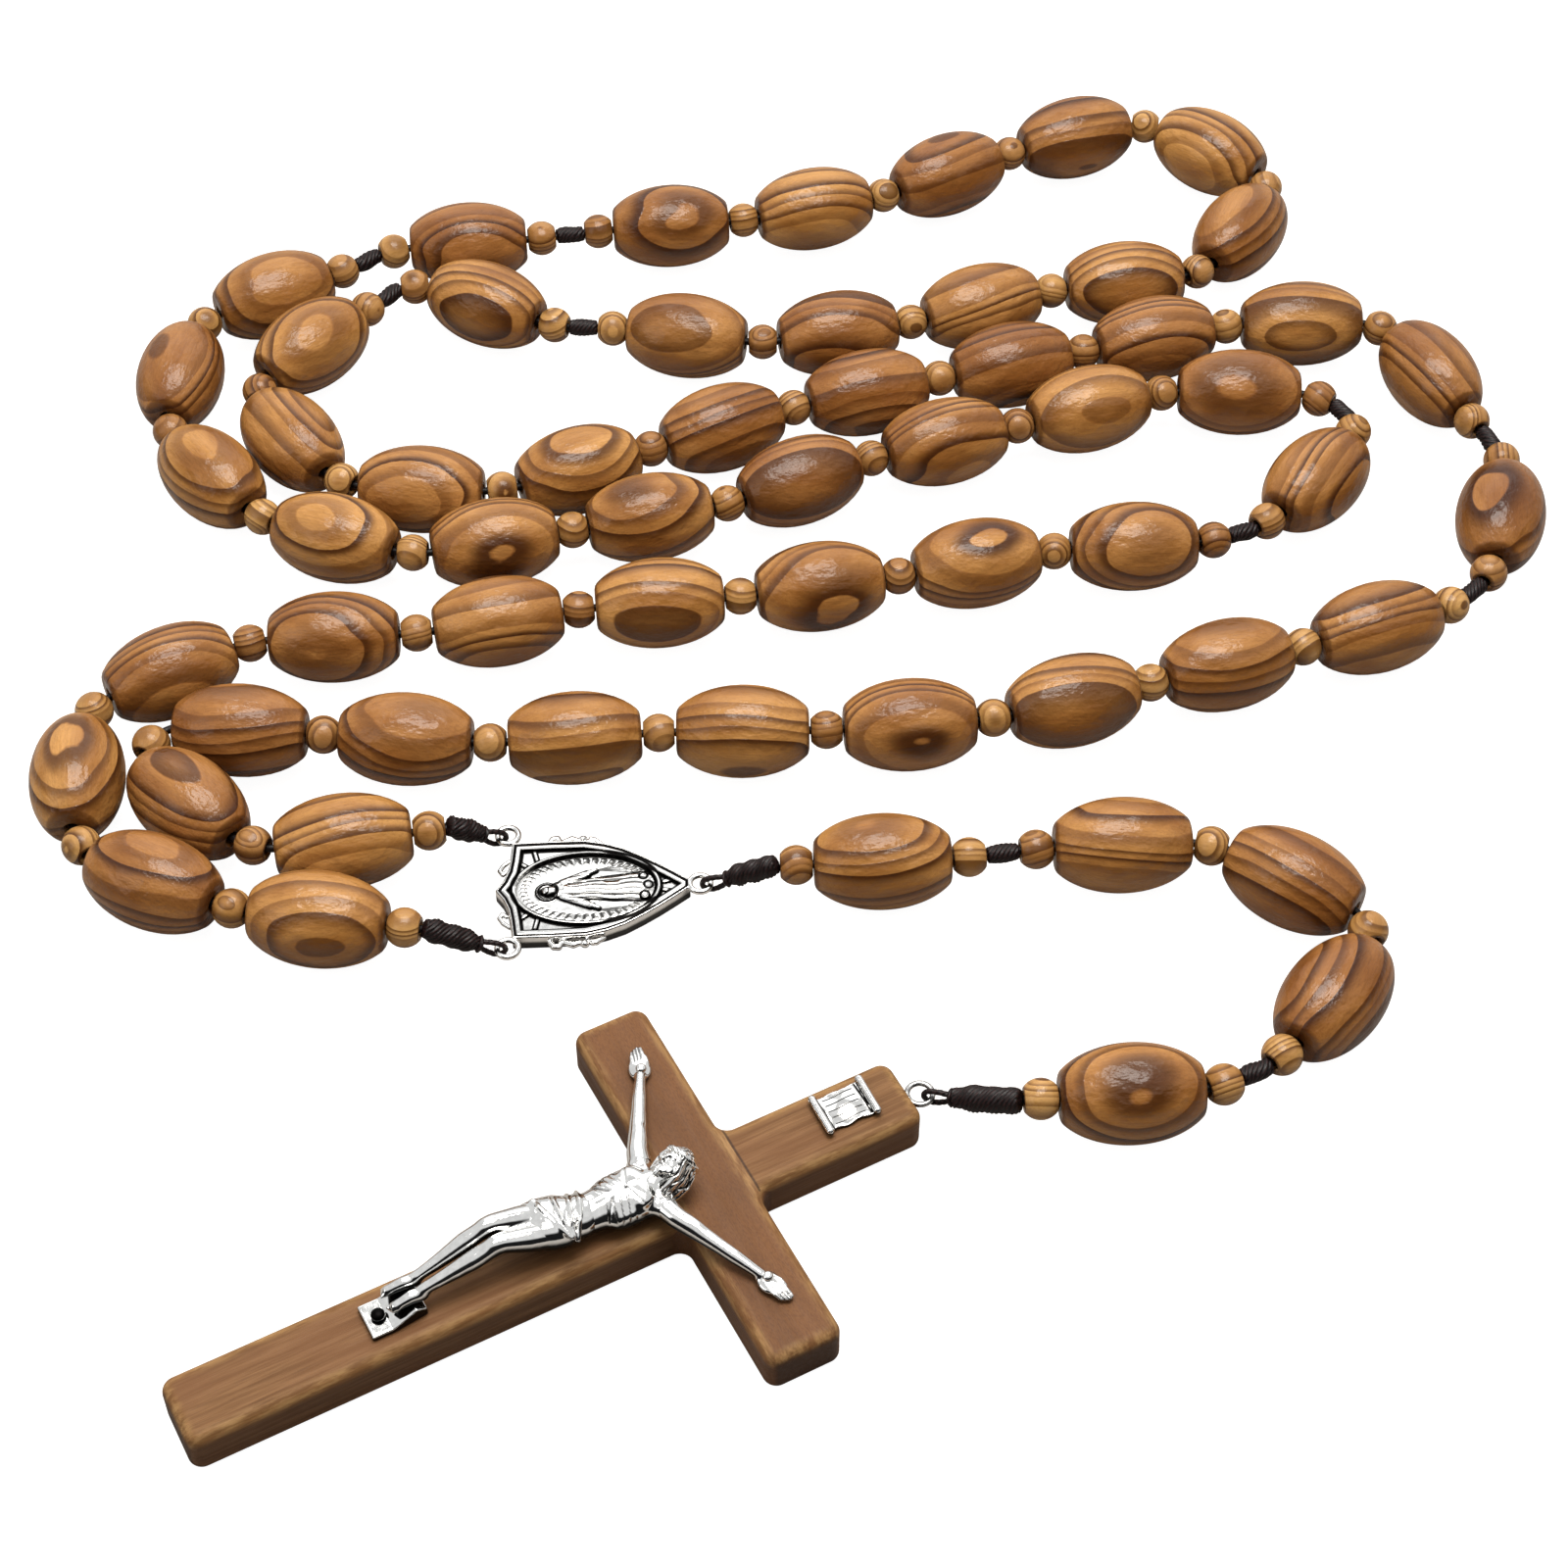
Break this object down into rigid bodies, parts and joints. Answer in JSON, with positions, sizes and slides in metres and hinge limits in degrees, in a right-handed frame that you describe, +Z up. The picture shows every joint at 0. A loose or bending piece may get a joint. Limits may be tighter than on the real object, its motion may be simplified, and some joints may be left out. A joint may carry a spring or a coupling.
{
  "type": "rosary",
  "caption": "Wooden rosary laid out flat: strung oval beads and small spacers in a closed loop, a shield medal, and a pendant ending in a wooden crucifix with a metal figure.",
  "frame": {"origin": "on the table under the middle of the laid-out rosary's bounding box", "axes": "+Z up from the table, +Y away from the crucifix across the folded strands, the longest way; +X to the viewer's right"},
  "size_m": [0.2878, 0.3291, 0.0181],
  "materials": {
    "bead_wood": "satin lacquer over honey-brown wood with dark growth rings",
    "spacer_wood": "satin lacquer over pale yellow-brown wood",
    "cord": "very dark brown wrapped cord",
    "antique_silver": "polished silver-coloured casting with blackened hollows",
    "cross_wood": "matte brown stain, edges worn lighter",
    "steel_wire": "bright wire"
  },
  "bodies": {
    "loop": {"decade_1_aves": "bead_wood", "decade_1_spacers": "spacer_wood", "decade_1_cord": "cord", "decade_2_aves": "bead_wood", "decade_2_spacers": "spacer_wood", "decade_2_cord": "cord", "decade_4_aves": "bead_wood", "decade_4_spacers": "spacer_wood", "decade_4_cord": "cord", "decade_5_aves": "bead_wood", "decade_5_spacers": "spacer_wood", "decade_5_cord": "cord", "pater_1_spacers": "spacer_wood", "pater_1_cord": "cord", "pater_1_knots": "cord", "pater_4_spacers": "spacer_wood", "pater_4_cord": "cord", "pater_4_knots": "cord", "tie_upper": "cord", "tie_lower": "cord"},
    "fold_section": {"pater_2_spacers": "spacer_wood", "pater_2_cord": "cord", "pater_2_knots": "cord", "pater_3_spacers": "spacer_wood", "pater_3_cord": "cord", "pater_3_knots": "cord"},
    "decade_3": {"decade_3_aves": "bead_wood", "decade_3_spacers": "spacer_wood", "decade_3_cord": "cord"},
    "pater_1": {"pater_1_bead": "bead_wood"},
    "pater_2": {"pater_2_bead": "bead_wood"},
    "pater_3": {"pater_3_bead": "bead_wood"},
    "pater_4": {"pater_4_bead": "bead_wood"},
    "medal": {"medal": "antique_silver"},
    "tie_tip": {"tie_tip": "cord"},
    "pendant_upper": {"pendant_upper_spacers": "spacer_wood", "pendant_upper_cord": "cord", "pendant_upper_knot": "cord"},
    "pendant_upper_pater": {"pendant_upper_bead": "bead_wood"},
    "pendant_middle": {"pendant_middle_spacers": "spacer_wood", "pendant_middle_cord": "cord", "pendant_middle_knot": "cord"},
    "pendant_ave_1": {"pendant_middle_bead_1": "bead_wood"},
    "pendant_ave_2": {"pendant_middle_bead_2": "bead_wood"},
    "pendant_ave_3": {"pendant_middle_bead_3": "bead_wood"},
    "pendant_lower": {"pendant_lower_spacers": "spacer_wood", "pendant_lower_cord": "cord"},
    "pendant_lower_pater": {"pendant_lower_bead": "bead_wood"},
    "tie_cross": {"tie_cross": "cord"},
    "crucifix": {"cross_upright": "cross_wood", "cross_bar": "cross_wood", "corpus": "antique_silver", "nails": "antique_silver", "foot_plate": "antique_silver", "scroll_plate": "antique_silver", "screw_eye": "steel_wire"}
  },
  "joints": [
    {"name": "fold_section_lift", "type": "hinge", "parent": "loop", "child": "fold_section", "pos_m": [-0.09151, 0.1086, 0.0087], "axis": [0.4472, -0.8944, 0], "range_deg": [0, 60]},
    {"name": "decade_3_lift", "type": "hinge", "parent": "fold_section", "child": "decade_3", "pos_m": [-0.04975, 0.10779, 0.0087], "axis": [0.1371, -0.9906, 0], "range_deg": [0, 60]},
    {"name": "medal_lift", "type": "hinge", "parent": "loop", "child": "medal", "pos_m": [-0.05762, -0.05126, 0.0028], "axis": [0.0498, -0.9988, 0], "range_deg": [0, 25]},
    {"name": "medal_level", "type": "hinge", "parent": "medal", "child": "tie_tip", "pos_m": [-0.01932, -0.04923, 0.0028], "axis": [0.0498, -0.9988, 0], "range_deg": [-25, 0]},
    {"name": "pendant_upper_swing", "type": "hinge", "parent": "tie_tip", "child": "pendant_upper", "pos_m": [-0.00888, -0.04981, 0.0087], "axis": [0, 0, 1], "range_deg": [-8, 4]},
    {"name": "pendant_middle_swing", "type": "hinge", "parent": "pendant_upper", "child": "pendant_middle", "pos_m": [0.03312, -0.04685, 0.0087], "axis": [0, 0, 1], "range_deg": [-8, 8]},
    {"name": "pendant_lower_swing", "type": "hinge", "parent": "pendant_middle", "child": "pendant_lower", "pos_m": [0.07391, -0.09449, 0.0087], "axis": [0, 0, 1], "range_deg": [0, 25]},
    {"name": "crucifix_swing", "type": "hinge", "parent": "pendant_lower", "child": "tie_cross", "pos_m": [0.03221, -0.10031, 0.0087], "axis": [0, 0, 1], "range_deg": [-3, 35]},
    {"name": "crucifix_lift", "type": "hinge", "parent": "tie_cross", "child": "crucifix", "pos_m": [0.01918, -0.09661, 0.0044], "axis": [-0.4695, 0.8829, 0], "range_deg": [0, 60]},
    {"name": "spin_pater_1", "type": "hinge", "parent": "loop", "child": "pater_1", "pos_m": [0.13471, 0.03793, 0.0087], "axis": [0.225, 0.9744, 0], "continuous": true},
    {"name": "spin_pater_2", "type": "hinge", "parent": "fold_section", "child": "pater_2", "pos_m": [-0.06821, 0.10041, 0.0087], "axis": [0.891, -0.454, 0], "continuous": true},
    {"name": "spin_pater_3", "type": "hinge", "parent": "fold_section", "child": "pater_3", "pos_m": [-0.07324, 0.11957, 0.0087], "axis": [-0.9945, -0.1045, 0], "continuous": true},
    {"name": "spin_pater_4", "type": "hinge", "parent": "loop", "child": "pater_4", "pos_m": [0.09958, 0.04822, 0.0087], "axis": [-0.6561, -0.7547, 0], "continuous": true},
    {"name": "spin_pendant_upper", "type": "hinge", "parent": "pendant_upper", "child": "pendant_upper_pater", "pos_m": [0.01154, -0.04874, 0.0087], "axis": [0.9986, 0.0523, 0], "continuous": true},
    {"name": "spin_pendant_ave_1", "type": "hinge", "parent": "pendant_middle", "child": "pendant_ave_1", "pos_m": [0.0547, -0.04497, 0.0087], "axis": [0.9986, 0.0523, 0], "continuous": true},
    {"name": "spin_pendant_ave_2", "type": "hinge", "parent": "pendant_middle", "child": "pendant_ave_2", "pos_m": [0.0847, -0.053, 0.0087], "axis": [0.8387, -0.5446, 0], "continuous": true},
    {"name": "spin_pendant_ave_3", "type": "hinge", "parent": "pendant_middle", "child": "pendant_ave_3", "pos_m": [0.08902, -0.07883, 0.0087], "axis": [-0.6157, -0.788, 0], "continuous": true},
    {"name": "spin_pendant_lower", "type": "hinge", "parent": "pendant_lower", "child": "pendant_lower_pater", "pos_m": [0.05261, -0.09889, 0.0087], "axis": [-0.9976, -0.0698, 0], "continuous": true}
  ],
  "couplings": [
    {"joint": "medal_level", "follows": "medal_lift", "ratio": -1}
  ]
}
